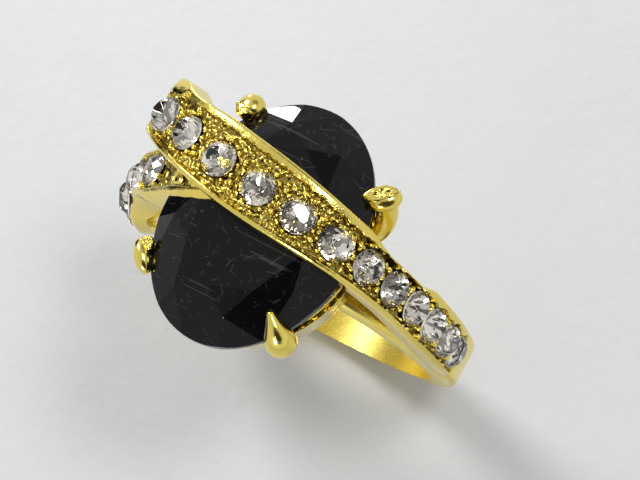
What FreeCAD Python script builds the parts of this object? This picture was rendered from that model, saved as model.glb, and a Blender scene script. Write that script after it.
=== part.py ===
import FreeCAD, Part
import math
import os

# Cocktail ring of the bypass kind: a closed finger loop, a stone-set band that crosses over an oval
# black stone, and a shorter stone-set arm that comes up the other shoulder to meet it.
# Origin at the centre of the finger hole, +Y along the finger, +Z up to the stone. Millimetres.

os.makedirs("parts", exist_ok=True)
Vector = FreeCAD.Vector

# Finger loop
finger_radius = 8.6          # a 17.2 mm finger hole
loop_wall = 1.0              # wall of the loop under the stone
shoulder_wall = 1.4          # wall at both sides of the finger
foot_wall = 1.1              # wall at the bottom
shoulder_width = 3.0
foot_width = 2.2
bridge_width = 2.8           # width of the loop under the stone
arm_root_height = 1.5        # where the two arms leave the loop, above the hole's centre
loop_edge_radius = 0.3       # rounding of the loop's outer edges below the arms

# Centre stone, an oval brilliant
stone_length = 14.0
stone_width = 10.4
stone_turn = -7.4            # degrees between the stone's long axis and the finger
crown_depth = 1.75
girdle_depth = 0.4
pavilion_depth = 2.8
table_ratio = 0.62
culet_gap = 0.1              # air between the stone's point and the loop
stone_gap = 0.03             # air between the stone and the gold that holds it

# Rhinestones, all of one size
chaton_diameter = 1.9
chaton_crown = 0.45
chaton_girdle = 0.12
chaton_pavilion = 0.6
chaton_table_ratio = 0.55
chaton_gap = 0.015
seat_rest = 0.001            # share of a seat's room that a clean cut may leave
chaton_rise = 0.05           # girdle's height over the channel floor
band_stones = 12
arm_stones = 4

# Stone-set channel of the band and of the arm
band_wall = 1.3              # rim top to underside
rim_width = 0.42
rim_slope = 0.1              # how far the rim's inner face leans
channel_depth = 0.35
end_wall = 0.4               # metal left at each end of the channel
table_gap = 0.1              # air between the stone's table and the band
girdle_clearance = 1.1       # from the girdle out to the crest of the band
culet_cover = 0.34           # metal kept under a rhinestone's point over the centre stone
root_side_wall = 0.3         # metal at each side of a rhinestone at the root of the band
first_stone_gap = 0.3        # from the channel's lower end to the lowest rhinestone
last_stone_gap = 0.36        # from the topmost rhinestone to the channel's upper end
band_stone_gap = 0.08        # between the two lowest rhinestones of the band; higher up it grows
arm_stone_gap = 0.55
row_shift = 0.3              # how far the row drifts to the near rim at the free end
end_corner_radius = 1.1      # far corner of the free end
shoulder_swell = 0.2         # how far each arm stands out past the loop's side, just above its root

# Gallery rail and claws
rail_radius = 0.45
rail_side_inset = 0.6        # from the girdle in to the rail's centre line, at the stone's sides
rail_end_inset = 1.4         # the same at the stone's ends
claw_foot_radius = 0.45
claw_waist_radius = 0.5
claw_bend_radius = 0.72
claw_tip_radius = 0.4
claw_tip_reach = 0.8         # from the claw's bend in to its tip
claw_places = {              # angle round the stone in degrees, and how far its bend stands out of the girdle
    "back_left": (52, 0.75),
    "back_right": (-43, 0.4),
    "front_right": (-131, 0.35),
    "front_left": (128, 0.25)}

# Worked out from the values above
loop_radius = finger_radius + loop_wall
reach = finger_radius + shoulder_wall
half_length = stone_length / 2
half_width = stone_width / 2
girdle_height = loop_radius + culet_gap + pavilion_depth + girdle_depth / 2
table_height = girdle_height + girdle_depth / 2 + crown_depth
culet_depth = channel_depth - chaton_rise + chaton_girdle / 2 + chaton_pavilion
crest_height = table_height + table_gap + max(band_wall, culet_depth + culet_cover)
root_width = chaton_diameter + 2 * root_side_wall
first_stone = end_wall + first_stone_gap + chaton_diameter / 2
last_stone = end_wall + last_stone_gap + chaton_diameter / 2
over_girdle = half_width + girdle_clearance
rail_height = math.sqrt(loop_radius ** 2 - (half_width - rail_side_inset) ** 2) + rail_radius
everything = 4 * crest_height


def cut_beyond(solid, point, normal):
    """The part of a solid behind a plane."""
    block = Part.makeBox(everything, everything, everything, Vector(-everything / 2, -everything / 2, 0))
    block.Placement = FreeCAD.Placement(point, FreeCAD.Rotation(Vector(0, 0, 1), normal))
    return solid.cut(block)


def oval(a, b, height):
    """Ellipse with radius a along X and b along Y, whichever is the longer."""
    if a >= b:
        return Part.Ellipse(Vector(0, 0, height), a, b)
    return Part.Ellipse(Vector(0, b, height), Vector(-a, 0, height), Vector(0, 0, height))


def gem(length, width, crown, girdle, pavilion, table):
    """A brilliant with its long axis along X and the middle of its girdle at the origin."""
    a = length / 2
    b = width / 2
    outline = Part.Wire(oval(a, b, -girdle / 2 - pavilion).toShape())
    solid = Part.Face(outline).extrude(Vector(0, 0, pavilion + girdle + crown))

    def facet(angle, first, second):
        """Cuts along the plane through two (share of the radius, height) points on one direction."""
        inner, low = first
        outer, high = second
        direction = Vector(math.cos(angle) / a, math.sin(angle) / b, (inner - outer) / (high - low))
        on_plane = Vector(a * math.cos(angle) * inner, b * math.sin(angle) * inner, low)
        return cut_beyond(solid, on_plane, direction)

    eighth = math.pi / 4
    side_ratio = 0.8                                 # where kite, star and girdle facets meet
    side_lift = crown * (1 - side_ratio * math.cos(eighth / 2)) / (1 - table)
    top = girdle / 2
    for step in range(8):
        main = step * eighth
        between = main + eighth / 2
        solid = facet(main, (1, top), (table, top + crown))
        star = (table * math.cos(eighth / 2), top + crown)
        solid = facet(between, (side_ratio, top + side_lift), star)
        side = Vector(a * side_ratio * math.cos(between), b * side_ratio * math.sin(between), top + side_lift)
        middle = Vector(a * math.cos(between), b * math.sin(between), top)
        for tip in (main, main + eighth):
            corner = Vector(a * math.cos(tip), b * math.sin(tip), top)
            normal = (middle - corner).cross(side - corner)
            if normal.z < 0:
                normal = -normal
            solid = cut_beyond(solid, corner, normal)
        solid = facet(main, (0, -top - pavilion), (1, -top))
    return solid


class Track:
    """A smooth path through stations (x, y, z, size), with the size blended along it."""

    def __init__(self, stations):
        points = [Vector(x, y, z) for x, y, z, size in stations]
        steps = [0.0]
        for before, after in zip(points, points[1:]):
            steps.append(steps[-1] + before.distanceToPoint(after))
        self.path = Part.BSplineCurve()
        self.path.interpolate(Points=points, Parameters=steps)
        self.sizes = Part.BSplineCurve()
        sizes = [Vector(step, station[3], 0) for step, station in zip(steps, stations)]
        self.sizes.interpolate(Points=sizes, Parameters=steps)
        self.length = self.path.length()

    def at(self, distance):
        """Point, across, along, outward and size at a distance along the path."""
        where = self.path.parameterAtDistance(distance, self.path.FirstParameter)
        along = self.path.tangent(where)[0]
        across = Vector(0, 1, 0) - along * along.y
        across.normalize()
        outward = across.cross(along)
        return self.path.value(where), across, along, outward, self.sizes.value(where).y

    def sweep(self, section, start, end, count):
        """Solid through count sections, each a list of (across, outward) corners."""
        wires = []
        for step in range(count):
            point, across, along, outward, size = self.at(start + (end - start) * step / (count - 1))
            corners = [point + across * s + outward * n for s, n in section(size)]
            wires.append(Part.makePolygon(corners + corners[:1]))
        return Part.makeLoft(wires, True)

    def tube(self, count):
        """Round solid along the whole path, its radius the blended size."""
        wires = []
        for step in range(count):
            point, across, along, outward, size = self.at(self.length * step / (count - 1))
            wires.append(Part.Wire(Part.Circle(point, along, size).toShape()))
        return Part.makeLoft(wires, True)


def bar_section(width):
    """Outline of a band before its channel is cut."""
    return [(-width / 2, -band_wall), (width / 2, -band_wall), (width / 2, 0), (-width / 2, 0)]


def channel_section(width):
    """Outline of the channel: it opens upward and leaves a rim on each side."""
    top = width / 2 - rim_width
    floor = top - rim_slope
    over = channel_depth
    return [(-floor, -channel_depth), (floor, -channel_depth), (top, 0), (top, over), (-top, over), (-top, 0)]


def blend(height, share):
    """Height between the arm roots and the girdle."""
    return arm_root_height + share * (height - arm_root_height)


def between(share):
    """Distance from the middle, from the crest beside the girdle (0) out to the loop's side (1)."""
    return over_girdle + share * (reach - over_girdle)


def band_track():
    """Crest of the crossover band, from the right shoulder over the stone to its free end."""
    beside = girdle_height + girdle_depth
    return Track([
        (reach, -0.05, arm_root_height, root_width),
        (reach + shoulder_swell, -0.05, blend(beside, 0.18), root_width + 0.1),
        (between(0.9), 0.1, blend(beside, 0.42), root_width + 0.2),
        (between(0.6), 0.3, blend(beside, 0.67), root_width + 0.4),
        (between(0.0), 0.6, beside, root_width + 0.6),
        (0.83 * half_width, 0.8, crest_height - 1.1, root_width + 0.9),
        (0.0, 1.35, crest_height, root_width + 1.5),
        (-0.52 * half_width, 1.8, crest_height - 0.2, root_width + 1.5),
        (-half_width, 2.4, crest_height - 1.0, root_width + 1.4),
        (-1.42 * half_width, 3.1, crest_height - 2.9, root_width + 1.2),
        (-1.64 * half_width, 3.5, crest_height - 4.6, root_width + 0.9)])


def arm_track():
    """Crest of the left arm, from under the crossover band down to the loop's left side."""
    beside = girdle_height + girdle_depth
    return Track([
        (-0.65 * half_width, 0.9, crest_height - 1.3, root_width - 0.5),
        (-half_width, 0.8, crest_height - 2.8, root_width - 0.3),
        (-between(0.03), 0.75, blend(beside, 0.87), root_width - 0.1),
        (-between(0.43), 0.5, blend(beside, 0.69), root_width + 0.1),
        (-between(0.76), -0.1, blend(beside, 0.52), root_width + 0.1),
        (-between(0.94), -1.0, blend(beside, 0.35), root_width + 0.1),
        (-reach - shoulder_swell / 2, -1.1, blend(beside, 0.17), root_width + 0.1),
        (-reach, -0.3, arm_root_height, root_width + 0.1)])


def loop():
    """The closed finger loop: thin under the stone, thicker from the arm roots down."""
    low_reach = finger_radius + foot_wall
    outer = (low_reach ** 2 + reach ** 2) / (2 * low_reach)
    middle = outer - low_reach
    y_axis = Vector(0, 1, 0)
    start = -shoulder_width
    lower = Part.makeCylinder(outer, 2 * shoulder_width, Vector(0, start, middle), y_axis)
    lower = cut_beyond(lower, Vector(0, 0, arm_root_height), Vector(0, 0, 1))
    upper = Part.makeCylinder(loop_radius, 2 * shoulder_width, Vector(0, start, 0), y_axis)
    hole = Part.makeCylinder(finger_radius, 2 * shoulder_width, Vector(0, start, 0), y_axis)
    profile = [
        (foot_width / 2, -low_reach),
        (shoulder_width / 2, arm_root_height),
        (bridge_width / 2, loop_radius)]
    corners = [Vector(-everything, y, z) for y, z in profile]
    corners += [Vector(-everything, -y, z) for y, z in reversed(profile)]
    taper = Part.Face(Part.makePolygon(corners + corners[:1])).extrude(Vector(2 * everything, 0, 0))
    solid = lower.fuse(upper).cut(hole).common(taper).removeSplitter()
    rims = [edge for edge in solid.Edges if edge.BoundBox.ZMax < arm_root_height + 0.001
            and edge.BoundBox.ZMin < -finger_radius - foot_wall / 2 and edge.Length > finger_radius]
    return solid.makeFillet(loop_edge_radius, rims)


def place(solid, point, x_axis, y_axis, z_axis):
    """A copy of a solid moved to a point and turned to three axes."""
    matrix = FreeCAD.Matrix(
        x_axis.x, y_axis.x, z_axis.x, point.x,
        x_axis.y, y_axis.y, z_axis.y, point.y,
        x_axis.z, y_axis.z, z_axis.z, point.z)
    moved = solid.copy()
    moved.Placement = FreeCAD.Placement(matrix)
    return moved


def chaton_seat():
    """Room for one rhinestone: its own shape below the girdle and a straight bore above."""
    wide = chaton_diameter + 2 * chaton_gap
    girdle = chaton_girdle + 2 * chaton_gap
    room = gem(wide, wide, chaton_crown, girdle, chaton_pavilion, chaton_table_ratio)
    bore = Part.makeCylinder(wide / 2, chaton_diameter, Vector(0, 0, -girdle / 2))
    return room.fuse(bore)


def set_stones(track, distances, shift):
    """Rhinestones and their seats along a track; shift moves each one sideways."""
    stones = []
    seats = []
    chaton = gem(chaton_diameter, chaton_diameter, chaton_crown, chaton_girdle, chaton_pavilion,
                 chaton_table_ratio)
    seat = chaton_seat()
    for distance in distances:
        point, across, along, outward, size = track.at(distance)
        sunk = chaton_rise - channel_depth
        centre = point + across * shift(distance) + outward * sunk
        stones.append(place(chaton, centre, across, along, outward))
        seats.append((place(seat, centre, across, along, outward), centre, outward))
    return stones, seats


def carve(solid, seats):
    """Cuts the seats one by one. One whose faces line up with others is turned a little, so that it cuts clean."""
    for seat, centre, axis in seats:
        for turn in (0, 3, 6, 9):
            turned = seat.copy()
            turned.rotate(centre, axis, turn)
            carved = solid.cut(turned)
            if carved.common(turned).Volume < seat.Volume * seat_rest and len(carved.Solids) == 1:
                break
        solid = carved
    return solid


def stone_frame(solid):
    """Moves a solid from the stone's own axes to its place over the loop."""
    moved = solid.copy()
    turn = FreeCAD.Rotation(Vector(0, 0, 1), 90 + stone_turn)
    moved.Placement = FreeCAD.Placement(Vector(0, 0, girdle_height), turn)
    return moved


def round_far_corner(track, solid, inset, radius):
    """Rounds the corner on the far (+Y) side of a solid that ends inset short of a track's end."""
    point, across, along, outward, size = track.at(track.length - inset)
    corners = []
    for edge in solid.Edges:
        middle = edge.valueAt((edge.FirstParameter + edge.LastParameter) / 2) - point
        if abs(middle.dot(along)) < 0.05 and middle.dot(across) > size / 2 - rim_width - rim_slope:
            start, end = (vertex.Point for vertex in (edge.Vertexes[0], edge.Vertexes[-1]))
            if abs((end - start).dot(outward)) > 0.1:
                corners.append(edge)
    return solid.makeFillet(radius, corners)


def gallery_rail():
    """Oval wire under the girdle that carries the claws and rests on the loop."""
    low = rail_height - girdle_height
    curve = oval(half_length - rail_end_inset, half_width - rail_side_inset, low)
    seam = math.radians(25)                          # clear of the loop and of the claws
    halves = [Part.ArcOfEllipse(curve, start, start + math.pi).toShape() for start in (seam, seam + math.pi)]
    section = Part.Circle(curve.value(seam), curve.tangent(seam)[0], rail_radius).toShape()
    return stone_frame(Part.Wire(halves).makePipeShell([Part.Wire(section)], True, False))


def claw(angle, bend_out):
    """One claw: up from the rail, out round the girdle and in over the crown."""
    turn = math.radians(angle)
    low = rail_height - girdle_height
    top = girdle_depth / 2
    steps = [
        (-rail_end_inset, -rail_side_inset, low, claw_foot_radius),
        (bend_out / 2 - 0.4, bend_out / 2 - 0.2, low / 2, claw_waist_radius),
        (bend_out, bend_out, 0.0, claw_bend_radius),
        (bend_out - 0.3, bend_out - 0.3, 0.75, claw_bend_radius * 0.9),
        (bend_out - claw_tip_reach, bend_out - claw_tip_reach, top + 0.9, claw_tip_radius)]
    stations = []
    for long_out, wide_out, height, radius in steps:
        x = (half_length + long_out) * math.cos(turn)
        y = (half_width + wide_out) * math.sin(turn)
        stations.append((x, y, height, radius))
    tip = Part.makeSphere(claw_tip_radius, Vector(*stations[-1][:3]))
    return stone_frame(Track(stations).tube(9).fuse(tip))


def save(solid, name):
    """Writes one piece, which must be a single valid solid."""
    pieces = solid.Solids
    if len(pieces) != 1 or not solid.isValid():
        raise RuntimeError(f"{name}: {len(pieces)} solids, valid {solid.isValid()}")
    pieces[0].exportStep(f"parts/{name}.step")
    print(f"{name}: {pieces[0].Volume:.2f} mm3")


finger_loop = loop()
stone = stone_frame(gem(stone_length, stone_width, crown_depth, girdle_depth, pavilion_depth, table_ratio))
wide = 2 * stone_gap
stone_room = stone_frame(gem(stone_length + wide, stone_width + wide, crown_depth + stone_gap,
                             girdle_depth + stone_gap, pavilion_depth + stone_gap, table_ratio))

band_path = band_track()
pitches = band_stones - 1
band_pitch = chaton_diameter + band_stone_gap
spare = band_path.length - first_stone - last_stone - pitches * band_pitch
pitch_growth = 2 * spare / (pitches * (pitches - 1))
band_distances = [first_stone]
for count in range(pitches):
    band_distances.append(band_distances[-1] + band_pitch + pitch_growth * count)
band_rhinestones, band_seats = set_stones(
    band_path, band_distances, lambda distance: -row_shift * (distance / band_path.length) ** 2)

arm_path = arm_track()
arm_pitch = chaton_diameter + arm_stone_gap
arm_distances = [arm_path.length - first_stone - arm_pitch * count for count in range(arm_stones)]
arm_rhinestones, arm_seats = set_stones(arm_path, arm_distances, lambda distance: 0.0)

band = round_far_corner(band_path, band_path.sweep(bar_section, 0, band_path.length, 25), 0, end_corner_radius)
band_channel = band_path.sweep(channel_section, end_wall, band_path.length - end_wall, 25)
band_channel = round_far_corner(band_path, band_channel, end_wall, end_corner_radius - end_wall)
band = band.cut(finger_loop).cut(stone_room)
arm = arm_path.sweep(bar_section, 0, arm_path.length, 21).cut(finger_loop).cut(stone_room).cut(band)
arm_channel = arm_path.sweep(channel_section, 0, arm_path.length - end_wall, 21)
band = carve(band, band_seats).cut(band_channel)
arm = carve(arm, arm_seats).cut(arm_channel)

rail = gallery_rail().cut(finger_loop)

save(finger_loop, "shank")
save(stone, "centre_stone")
save(band, "crossover_band")
save(arm, "left_arm")
save(rail, "gallery_rail")
for side, (angle, bend_out) in claw_places.items():
    save(claw(angle, bend_out).cut(stone_room).cut(rail), f"claw_{side}")
for number, rhinestone in enumerate(band_rhinestones, 1):
    save(rhinestone, f"crossover_rhinestone_{number:02d}")
for number, rhinestone in enumerate(arm_rhinestones, 1):
    save(rhinestone, f"left_arm_rhinestone_{number}")
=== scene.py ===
import bpy
import math
import numpy as np
from mathutils import Matrix, Vector


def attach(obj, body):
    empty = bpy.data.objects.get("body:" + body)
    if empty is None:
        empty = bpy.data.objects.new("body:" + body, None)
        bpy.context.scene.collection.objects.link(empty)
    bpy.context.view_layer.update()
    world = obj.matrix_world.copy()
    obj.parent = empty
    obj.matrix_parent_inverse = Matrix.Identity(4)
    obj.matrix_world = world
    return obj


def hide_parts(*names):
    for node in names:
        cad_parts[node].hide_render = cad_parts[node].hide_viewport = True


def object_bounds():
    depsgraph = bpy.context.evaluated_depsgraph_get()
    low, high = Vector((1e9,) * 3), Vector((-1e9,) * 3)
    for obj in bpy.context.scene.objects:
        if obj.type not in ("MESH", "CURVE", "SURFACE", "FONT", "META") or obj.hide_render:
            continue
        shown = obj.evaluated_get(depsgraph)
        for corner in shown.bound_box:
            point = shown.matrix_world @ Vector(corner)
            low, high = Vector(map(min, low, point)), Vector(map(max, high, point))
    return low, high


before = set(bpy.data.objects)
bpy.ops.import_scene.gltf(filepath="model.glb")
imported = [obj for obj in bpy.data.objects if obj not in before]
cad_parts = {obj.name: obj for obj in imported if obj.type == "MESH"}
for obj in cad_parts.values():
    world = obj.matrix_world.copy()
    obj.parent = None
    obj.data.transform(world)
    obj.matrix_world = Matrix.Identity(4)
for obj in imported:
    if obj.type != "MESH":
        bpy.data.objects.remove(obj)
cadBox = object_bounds()
mm = 0.001
rng = np.random.default_rng(7)
print("frame loaded:", len(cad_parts), "nodes")

# the ring's own sizes in millimetres, as the model has them
ring = {
    "fingerRadius": 8.6, "loopWall": 1.0, "shoulderWall": 1.4, "footWall": 1.1,
    "shoulderWidth": 3.0, "footWidth": 2.2, "bridgeWidth": 2.8, "rootHeight": 1.5,
    "shoulderSwell": 0.2}
oval = {
    "length": 14.0, "width": 10.4, "turn": -7.4, "crown": 1.75, "girdle": 0.4, "pavilion": 2.8,
    "table": 0.62, "culetGap": 0.1}
chaton = {"diameter": 1.9, "crown": 0.45, "girdle": 0.12, "pavilion": 0.6, "table": 0.55, "rise": 0.05}
channel = {
    "wall": 1.3, "depth": 0.35, "endWall": 0.4, "tableGap": 0.1,
    "girdleClearance": 1.1, "cornerRadius": 1.1, "rootSide": 0.3, "firstGap": 0.3, "lastGap": 0.36,
    "bandGap": 0.08, "armGap": 0.55, "bandStones": 12, "armStones": 4}

halfLength = oval["length"] / 2
halfWidth = oval["width"] / 2
loopRadius = ring["fingerRadius"] + ring["loopWall"]
reach = ring["fingerRadius"] + ring["shoulderWall"]
girdleHeight = loopRadius + oval["culetGap"] + oval["pavilion"] + oval["girdle"] / 2
crestHeight = girdleHeight + oval["girdle"] / 2 + oval["crown"] + channel["tableGap"] + channel["wall"]
overGirdle = halfWidth + channel["girdleClearance"]
rootWidth = chaton["diameter"] + 2 * channel["rootSide"]


def only(*objects):  # selects just these, the first one active
    bpy.ops.object.select_all(action="DESELECT")
    for obj in objects:
        obj.select_set(True)
    bpy.context.view_layer.objects.active = objects[0]


def readPoints(obj):
    flat = np.empty(len(obj.data.vertices) * 3)
    obj.data.vertices.foreach_get("co", flat)
    return flat.reshape(-1, 3)


def writePoints(obj, points):
    obj.data.vertices.foreach_set("co", np.ascontiguousarray(points, dtype=float).ravel())
    obj.data.update()


def pick(obj, mask):  # selects vertices by place, then opens edit mode
    bpy.ops.object.mode_set(mode="OBJECT")
    obj.data.polygons.foreach_set("select", np.zeros(len(obj.data.polygons), bool))
    obj.data.edges.foreach_set("select", np.zeros(len(obj.data.edges), bool))
    obj.data.vertices.foreach_set("select", mask)
    bpy.ops.object.mode_set(mode="EDIT")
    bpy.ops.mesh.select_mode(type="VERT")


def smooth(edge):  # eased step from 0 to 1
    edge = np.clip(edge, 0, 1)
    return edge * edge * (3 - 2 * edge)


def outwards(obj):  # makes every face point out
    only(obj)
    bpy.ops.object.mode_set(mode="EDIT")
    bpy.ops.mesh.select_all(action="SELECT")
    bpy.ops.mesh.normals_make_consistent(inside=False)
    bpy.ops.object.mode_set(mode="OBJECT")


def finishPiece(obj, name, finishes, node, angle=None):  # name, material, smoothing and frame duties
    only(obj)
    obj.name = name
    obj.data.name = name
    obj.data.materials.clear()
    for finish in finishes:
        obj.data.materials.append(finish)
    if angle is not None:
        bpy.ops.object.shade_smooth_by_angle(angle=math.radians(angle))
    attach(obj, "root")
    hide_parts(node)
    return obj


class Wire:  # a socket that takes + - and *
    def __init__(self, finish, socket):
        self.finish = finish
        self.socket = socket

    def calc(self, operation, *values):
        return self.finish.node("Math", {"operation": operation}, dict(enumerate(values)))

    def __add__(self, other):
        return self.calc("ADD", self, other)

    def __radd__(self, other):
        return self.calc("ADD", other, self)

    def __sub__(self, other):
        return self.calc("SUBTRACT", self, other)

    def __rsub__(self, other):
        return self.calc("SUBTRACT", other, self)

    def __mul__(self, other):
        return self.calc("MULTIPLY", self, other)

    def __rmul__(self, other):
        return self.calc("MULTIPLY", other, self)

    def ease(self, low, high):  # 0 below low, 1 above high
        return self.finish.node("MapRange", {"interpolation_type": "SMOOTHSTEP"},
                                {"Value": self, "From Min": low, "From Max": high})


class Finish:  # one material or world under construction
    def __init__(self, holder):
        holder.use_nodes = True
        self.tree = holder.node_tree
        self.tree.nodes.clear()
        self.holder = holder

    def node(self, kind, settings=None, sockets=None, out=0):
        made = self.tree.nodes.new("ShaderNode" + kind)
        for key, value in (settings or {}).items():
            setattr(made, key, value)
        for key, value in (sockets or {}).items():
            if isinstance(value, Wire):
                self.tree.links.new(value.socket, made.inputs[key])
            else:
                made.inputs[key].default_value = value
        if not made.outputs:
            return made
        return Wire(self, made.outputs[out])

    def place(self):  # object coordinates in millimetres
        spot = self.node("TexCoord", out="Object")
        return self.node("VectorMath", {"operation": "SCALE"}, {"Vector": spot, "Scale": 1 / mm})

    def noise(self, spot, scale, detail=3.0, rough=0.5):
        return self.node("TexNoise", None, {
            "Vector": spot, "Scale": scale, "Detail": detail, "Roughness": rough})

    def mix(self, factor, first, second):
        return self.node("Mix", {"data_type": "RGBA"}, {"Factor": factor, "A": first, "B": second}, "Result")

    def bump(self, height, depth, under=None):  # depth in millimetres
        sockets = {"Height": height, "Distance": depth * mm, "Strength": 1.0}
        if under is not None:
            sockets["Normal"] = under
        return self.node("Bump", None, sockets)

    def finish(self, shader):
        self.node("OutputMaterial", None, {"Surface": shader})
        return self.holder


def goldFinish(name, look):  # bright yellow plating; painted shade makes it warmer and darker in its recesses, where it is also rougher
    make = Finish(bpy.data.materials.new(name))
    spot = make.place()
    tone = make.noise(spot, 0.55, 4.0)
    speck = make.noise(spot, 9.0, 5.0, 0.65)
    depth = make.node("Attribute", {"attribute_name": "recess"}, out="Fac")
    plating = make.mix(tone, look["bright"], look["pale"])
    # painted shade: the recess attribute pulls the plating towards the dark warm tone; random specks pull it
    # a little the same way
    shadedAndSpeckled = make.mix(depth * look["paintedShadeShare"] + speck.ease(0.62, 0.8) * 0.12, plating, look["shadeAndSpeckTone"])
    wear = make.noise(spot, 26.0, 3.0, 0.6)
    rough = speck * look["roughSpread"] + (depth * 0.12 + look["rough"])
    peel = make.bump(make.noise(spot, 3.2, 4.0), look["peel"])
    grain = make.bump(wear, look["grain"], peel)
    shader = make.node("BsdfPrincipled", None, {
        "Base Color": shadedAndSpeckled, "Metallic": 1.0, "Roughness": rough, "Normal": grain})
    return make.finish(shader)


# the dark warm tone is painted shade for the recesses, and also the colour of random darker specks
goldLook = {
    "bright": (0.82, 0.65, 0.12, 1), "pale": (0.88, 0.72, 0.19, 1), "shadeAndSpeckTone": (0.22, 0.155, 0.03, 1),
    "paintedShadeShare": 0.8, "rough": 0.10, "roughSpread": 0.12, "peel": 0.012, "grain": 0.0015}
polishedGold = goldFinish("gold_polished", goldLook)
loopGold = goldFinish("gold_loop", {**goldLook, "bright": (0.86, 0.72, 0.17, 1), "rough": 0.2, "peel": 0.004})
castGold = goldFinish("gold_cast", {
    **goldLook, "rough": 0.07, "roughSpread": 0.09, "peel": 0.03, "grain": 0.004})


def blackGlassFinish(look):  # polished black glass with lint, dust and hairline scratches
    make = Finish(bpy.data.materials.new("black_glass"))
    spot = make.place()
    dust = make.noise(spot, 5.5, 2.0, 0.5).ease(look["dustFrom"], look["dustFrom"] + 0.05)
    fine = make.noise(spot, 17.0, 2.0, 0.5).ease(0.76, 0.82)
    lint = None
    for scale, gateScale in look["scratches"]:
        line = make.node("TexVoronoi", {"feature": "DISTANCE_TO_EDGE"}, {"Vector": spot, "Scale": scale})
        gate = make.noise(spot, gateScale, 1.0).ease(0.585, 0.62)
        hair = (1 - line.ease(scale * 0.006, scale * 0.022)) * gate
        lint = hair if lint is None else lint + hair
    for turn, share in look["longScratches"]:
        along = make.node("Mapping", None, {"Vector": spot, "Rotation": (0, 0, math.radians(turn)),
                                            "Scale": (0.16, 7.0, 0.3)})
        lint = lint + make.noise(along, 1.0, 0.0).ease(0.79, 0.81) * share
    marks = dust * 0.6 + fine * 0.4 + lint * 0.16
    colour = make.mix(marks * look["markShare"], look["glass"], look["lint"])
    shader = make.node("BsdfPrincipled", None, {
        "Base Color": colour, "Roughness": marks * 0.3 + look["rough"], "IOR": 1.3})
    return make.finish(shader)


blackGlass = blackGlassFinish({
    "glass": (0.003, 0.003, 0.004, 1), "lint": (0.30, 0.30, 0.32, 1), "rough": 0.02, "markShare": 0.6,
    "dustFrom": 0.72, "scratches": ((0.5, 1.6), (1.2, 2.3)),
    "longScratches": ((63, 1.0), (-38, 0.8))})


def crownFinish():  # clear cut glass
    make = Finish(bpy.data.materials.new("rhinestone_glass"))
    spot = make.place()
    haze = make.noise(spot, 6.0, 2.0).ease(0.6, 0.85)
    shader = make.node("BsdfPrincipled", None, {
        "Base Color": (1, 1, 1, 1), "Roughness": haze * 0.03, "IOR": 1.6, "Transmission Weight": 1.0})
    return make.finish(shader)


def foilFinish():  # silver foil behind the glass, darker in random patches
    make = Finish(bpy.data.materials.new("rhinestone_foil"))
    spot = make.place()
    patch = make.node("TexVoronoi", None, {"Vector": spot, "Scale": 2.4}, "Color")
    colour = make.mix(patch.ease(0.4, 0.62) * 0.85, (0.93, 0.89, 0.80, 1), (0.22, 0.19, 0.16, 1))
    shader = make.node("BsdfPrincipled", None, {"Base Color": colour, "Metallic": 1.0, "Roughness": 0.035})
    return make.finish(shader)


rhinestoneFinishes = [crownFinish(), foilFinish()]
print("finishes made")


def cubicSlopes(knots, values):  # slopes of a smooth curve through the knots
    steps = np.diff(knots)
    chords = np.diff(values, axis=0) / steps[:, None]
    count = len(knots)
    left = np.zeros((count, count))
    right = np.zeros_like(values)
    for end, near in ((0, [0, 1, 2, 3]), (count - 1, [count - 1, count - 2, count - 3, count - 4])):
        powers = np.vander(knots[near] - knots[end], 4, increasing=True)
        right[end] = np.linalg.solve(powers, values[near])[1]
        left[end, end] = 1
    for i in range(1, count - 1):
        left[i, i - 1] = steps[i]
        left[i, i] = 2 * (steps[i - 1] + steps[i])
        left[i, i + 1] = steps[i - 1]
        right[i] = 3 * (steps[i] * chords[i - 1] + steps[i - 1] * chords[i])
    return np.linalg.solve(left, right)


class Track:  # smooth path through stations of x, y, z, width and perhaps a twist, in millimetres and degrees
    def __init__(self, stations):
        self.values = np.array(stations, float)
        steps = np.linalg.norm(np.diff(self.values[:, :3], axis=0), axis=1)
        self.knots = np.concatenate([[0], np.cumsum(steps)])
        self.slopes = cubicSlopes(self.knots, self.values)
        self.fine = np.linspace(0, self.knots[-1], 4001)
        places = self.blend(self.fine)[0][:, :3]
        self.run = np.concatenate([[0], np.cumsum(np.linalg.norm(np.diff(places, axis=0), axis=1))])
        self.length = self.run[-1]

    def blend(self, where):  # values and their slopes at curve parameters
        cell = np.clip(np.searchsorted(self.knots, where, side="right") - 1, 0, len(self.knots) - 2)
        step = (self.knots[cell + 1] - self.knots[cell])[:, None]
        t = (where[:, None] - self.knots[cell][:, None]) / step
        a, b = self.values[cell], self.values[cell + 1]
        da, db = self.slopes[cell] * step, self.slopes[cell + 1] * step
        value = (2 * t**3 - 3 * t**2 + 1) * a + (t**3 - 2 * t**2 + t) * da
        value = value + (3 * t**2 - 2 * t**3) * b + (t**3 - t**2) * db
        slope = (6 * t**2 - 6 * t) * (a - b) + (3 * t**2 - 4 * t + 1) * da + (3 * t**2 - 2 * t) * db
        return value, slope / step

    def at(self, distance):  # point, across, along, outward and width at distances along the path
        distance = np.atleast_1d(np.asarray(distance, float))
        where = np.interp(distance, self.run, self.fine)
        value, slope = self.blend(where)
        along = slope[:, :3] / np.linalg.norm(slope[:, :3], axis=1)[:, None]
        across = np.array([0.0, 1.0, 0.0]) - along * along[:, 1:2]
        across /= np.linalg.norm(across, axis=1)[:, None]
        outward = np.cross(across, along)
        if self.values.shape[1] > 4:  # the near side turns inwards
            twist = np.radians(value[:, 4:5])
            across, outward = (across * np.cos(twist) + outward * np.sin(twist),
                               outward * np.cos(twist) - across * np.sin(twist))
        past = (distance - np.clip(distance, 0, self.length))[:, None]
        return value[:, :3] + along * past, across, along, outward, value[:, 3]


def between(share):
    return overGirdle + share * (reach - overGirdle)


def climb(share):  # heights from the arm roots up to the girdle
    return ring["rootHeight"] + share * (girdleHeight + oval["girdle"] - ring["rootHeight"])


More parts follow.
